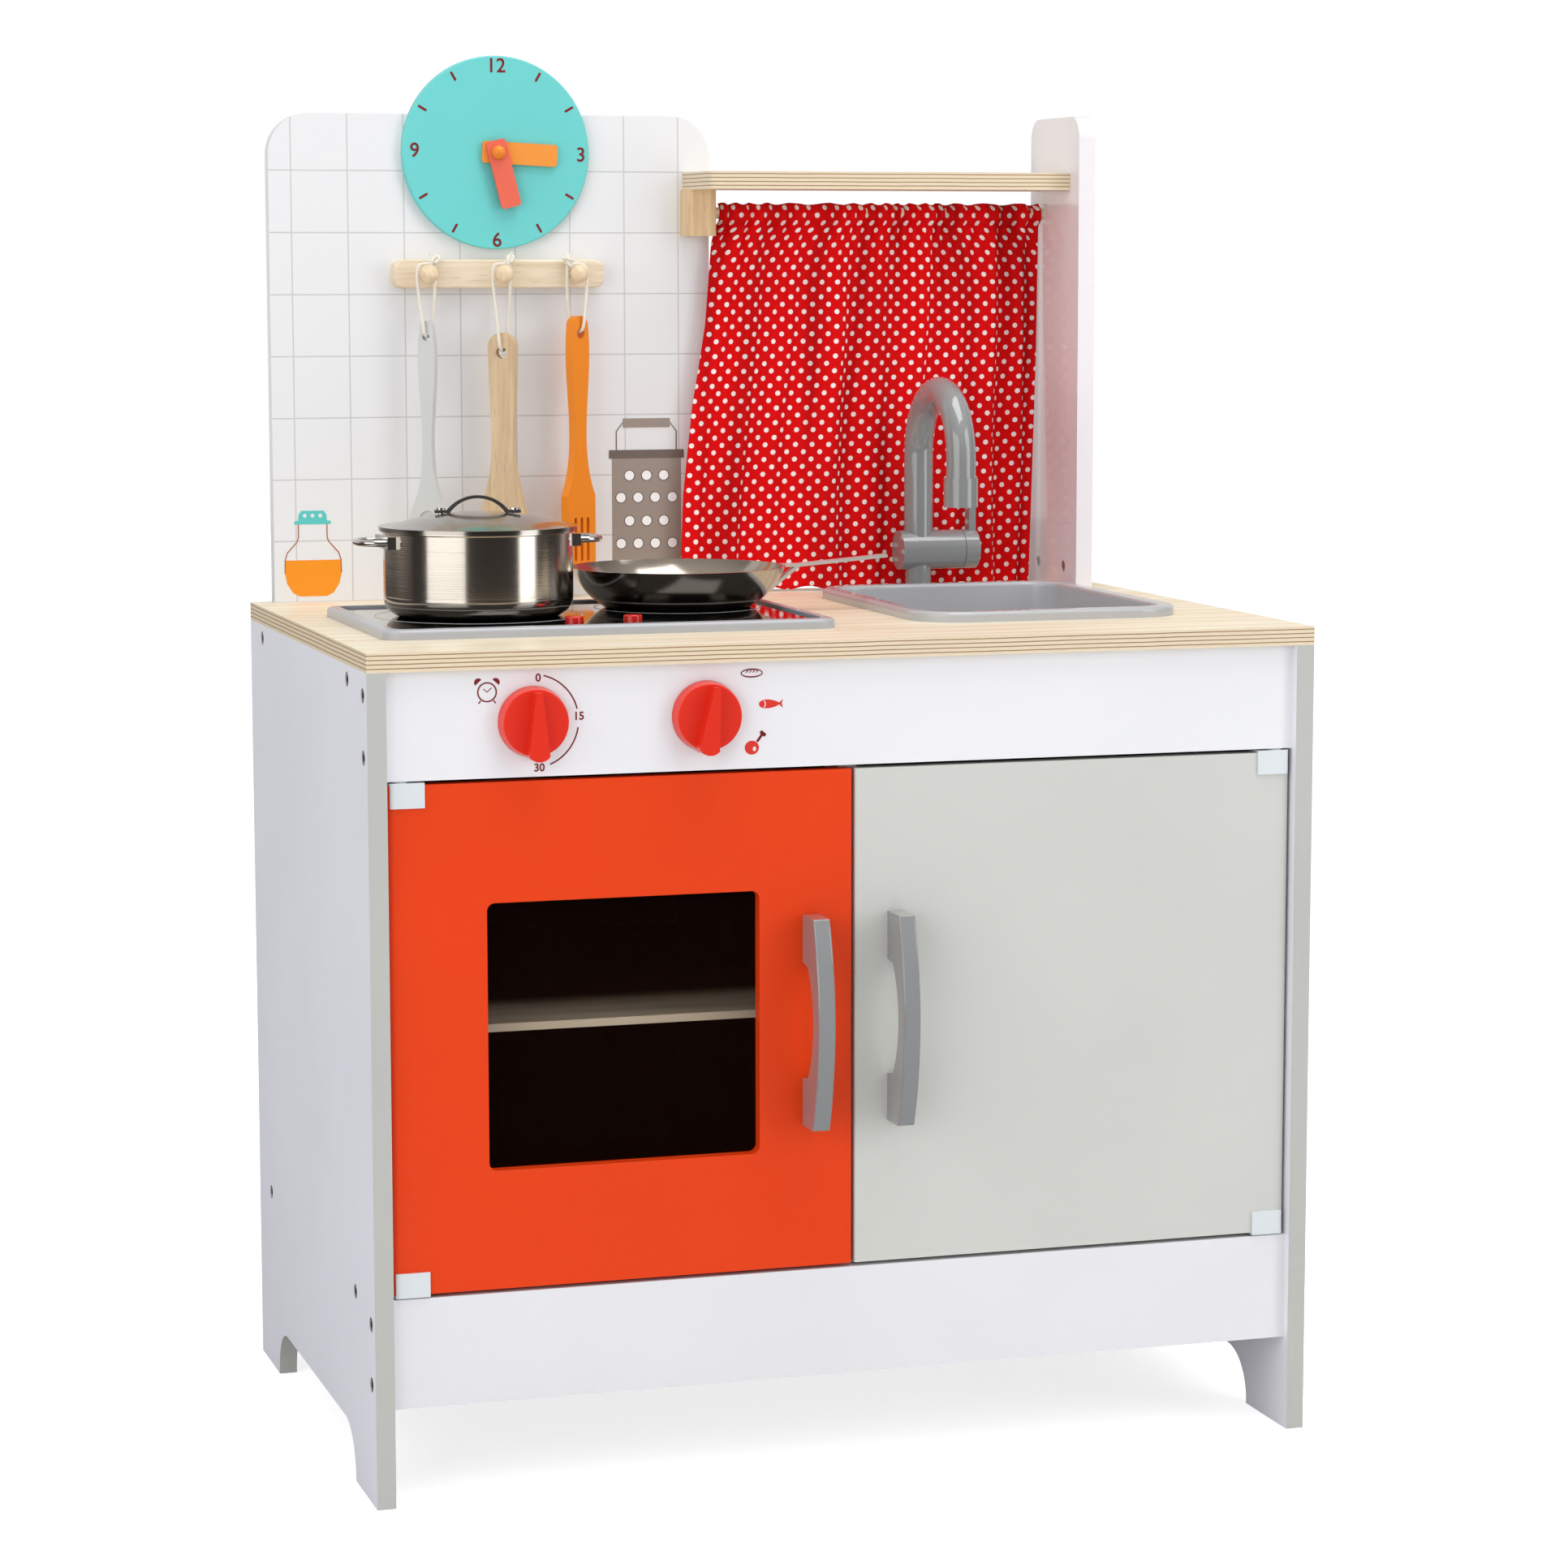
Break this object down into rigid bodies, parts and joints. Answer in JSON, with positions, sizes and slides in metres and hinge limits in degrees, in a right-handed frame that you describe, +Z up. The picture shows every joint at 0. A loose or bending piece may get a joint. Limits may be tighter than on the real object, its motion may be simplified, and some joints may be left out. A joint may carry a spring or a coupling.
{
  "type": "play kitchen",
  "caption": "Wooden play kitchen: cabinet with oven and cupboard doors, hob, sink with faucet, splash board with clock and hanging utensils, shelf with gathered curtain, pot and pan.",
  "frame": {"origin": "on the floor under the middle of the whole kitchen's box, door handles included", "axes": "+Z up, +X to the right as seen from the front, +Y to the back; the doors face -Y"},
  "size_m": [0.62, 0.428, 0.904],
  "materials": {
    "panel_white": "satin",
    "birch_ply": "satin",
    "beech": "satin",
    "steel": "satin",
    "tile_board": "gloss",
    "curtain_cloth": "matte",
    "clock_turquoise": "satin",
    "hour_coral": "satin",
    "minute_orange": "satin",
    "silver_plastic": "satin",
    "hob_black": "gloss",
    "board_green": "satin",
    "button_red": "gloss",
    "black_plastic": "satin",
    "grey_plastic": "satin",
    "door_orange": "satin",
    "door_grey": "satin",
    "tinted_pane": "gloss",
    "clip_white": "gloss",
    "knob_red": "satin",
    "brushed_pot_steel": "brushed",
    "polished_steel": "polished",
    "spoon_grey": "satin",
    "spatula_orange": "satin",
    "cotton_cord": "matte"
  },
  "bodies": {
    "cabinet": {"left_side_panel": "panel_white", "right_side_panel": "panel_white", "worktop": "birch_ply", "apron": "panel_white", "plinth": "panel_white", "cabinet_floor": "panel_white", "centre_divider": "panel_white", "oven_shelf": "birch_ply", "shelf_pins": "steel", "cabinet_back": "panel_white", "worktop_battens": "panel_white", "splash_board": "tile_board", "upright": "panel_white", "top_shelf": "birch_ply", "rod_block": "beech", "curtain_rod": "beech", "curtain": "curtain_cloth", "peg_rail": "beech", "rail_pegs": "beech", "clock_face": "clock_turquoise", "clock_pin": "minute_orange", "hob_housing": "silver_plastic", "hob_plate": "hob_black", "circuit_board": "board_green", "battery_cover": "silver_plastic", "sink": "silver_plastic", "panel_bolts": "steel", "upper_bolts": "steel", "barrel_nuts": "steel", "magnet_catches": "black_plastic"},
    "left_door": {"left_door": "door_orange", "oven_window": "tinted_pane", "left_handle": "grey_plastic", "left_door_hardware": "steel", "left_hinges": "clip_white"},
    "right_door": {"right_door": "door_grey", "right_handle": "grey_plastic", "right_door_hardware": "steel", "right_hinges": "clip_white"},
    "timer_knob": {"timer_knob": "knob_red"},
    "oven_knob": {"oven_knob": "knob_red"},
    "left_button": {"left_button": "button_red"},
    "right_button": {"right_button": "button_red"},
    "faucet": {"faucet": "grey_plastic", "faucet_nut": "black_plastic"},
    "faucet_lever": {"faucet_lever": "grey_plastic"},
    "hour_hand": {"hour_hand": "hour_coral"},
    "minute_hand": {"minute_hand": "minute_orange"},
    "pot": {"pot": "brushed_pot_steel", "pot_handles": "polished_steel"},
    "pot_lid": {"pot_lid": "polished_steel", "lid_handle": "polished_steel"},
    "pan": {"pan": "brushed_pot_steel", "pan_handle": "polished_steel"},
    "grey_spoon": {"grey_spoon": "spoon_grey", "left_loop": "cotton_cord"},
    "beech_spoon": {"beech_spoon": "beech", "middle_loop": "cotton_cord"},
    "orange_spatula": {"orange_spatula": "spatula_orange", "right_loop": "cotton_cord"}
  },
  "joints": [
    {"name": "left_door_hinge", "type": "hinge", "parent": "cabinet", "child": "left_door", "pos_m": [-0.288, -0.174, 0.29], "axis": [0, 0, -1], "range_deg": [0, 95]},
    {"name": "right_door_hinge", "type": "hinge", "parent": "cabinet", "child": "right_door", "pos_m": [0.288, -0.174, 0.29], "axis": [0, 0, 1], "range_deg": [0, 95]},
    {"name": "timer_knob_turn", "type": "hinge", "parent": "cabinet", "child": "timer_knob", "pos_m": [-0.206, -0.18, 0.485], "axis": [0, -1, 0], "continuous": true},
    {"name": "oven_knob_turn", "type": "hinge", "parent": "cabinet", "child": "oven_knob", "pos_m": [-0.096, -0.18, 0.485], "axis": [0, -1, 0], "continuous": true},
    {"name": "left_button_press", "type": "slide", "parent": "cabinet", "child": "left_button", "axis": [0, 0, -1], "range_m": [0, 0.0015], "stiffness_N_per_m": 600, "springref_m": -0.0008},
    {"name": "right_button_press", "type": "slide", "parent": "cabinet", "child": "right_button", "axis": [0, 0, -1], "range_m": [0, 0.0015], "stiffness_N_per_m": 600, "springref_m": -0.0008},
    {"name": "faucet_swivel", "type": "hinge", "parent": "cabinet", "child": "faucet", "pos_m": [0.1605, 0.1638, 0.53], "axis": [0, 0, 1], "range_deg": [-60, 5]},
    {"name": "faucet_lever_tilt", "type": "hinge", "parent": "faucet", "child": "faucet_lever", "pos_m": [0.1605, 0.1638, 0.5596], "axis": [1, 0, 0], "range_deg": [0, 60]},
    {"name": "hour_hand_turn", "type": "hinge", "parent": "cabinet", "child": "hour_hand", "pos_m": [-0.137, 0.19, 0.838], "axis": [0, -1, 0], "continuous": true},
    {"name": "minute_hand_turn", "type": "hinge", "parent": "cabinet", "child": "minute_hand", "pos_m": [-0.137, 0.194, 0.838], "axis": [0, -1, 0], "continuous": true},
    {"name": "pot_lift", "type": "slide", "parent": "cabinet", "child": "pot", "axis": [0, 0, 1], "range_m": [0, 0.06]},
    {"name": "pot_lid_lift", "type": "slide", "parent": "pot", "child": "pot_lid", "axis": [0, 0, 1], "range_m": [0, 0.04]},
    {"name": "pan_lift", "type": "slide", "parent": "cabinet", "child": "pan", "axis": [0, 0, 1], "range_m": [0, 0.015]},
    {"name": "grey_spoon_swing", "type": "hinge", "parent": "cabinet", "child": "grey_spoon", "pos_m": [-0.19, 0.182, 0.755], "axis": [0, -1, 0], "range_deg": [-6, 6]},
    {"name": "beech_spoon_swing", "type": "hinge", "parent": "cabinet", "child": "beech_spoon", "pos_m": [-0.137, 0.182, 0.755], "axis": [0, -1, 0], "range_deg": [-6, 6]},
    {"name": "orange_spatula_swing", "type": "hinge", "parent": "cabinet", "child": "orange_spatula", "pos_m": [-0.084, 0.182, 0.755], "axis": [0, -1, 0], "range_deg": [-6, 6]}
  ]
}
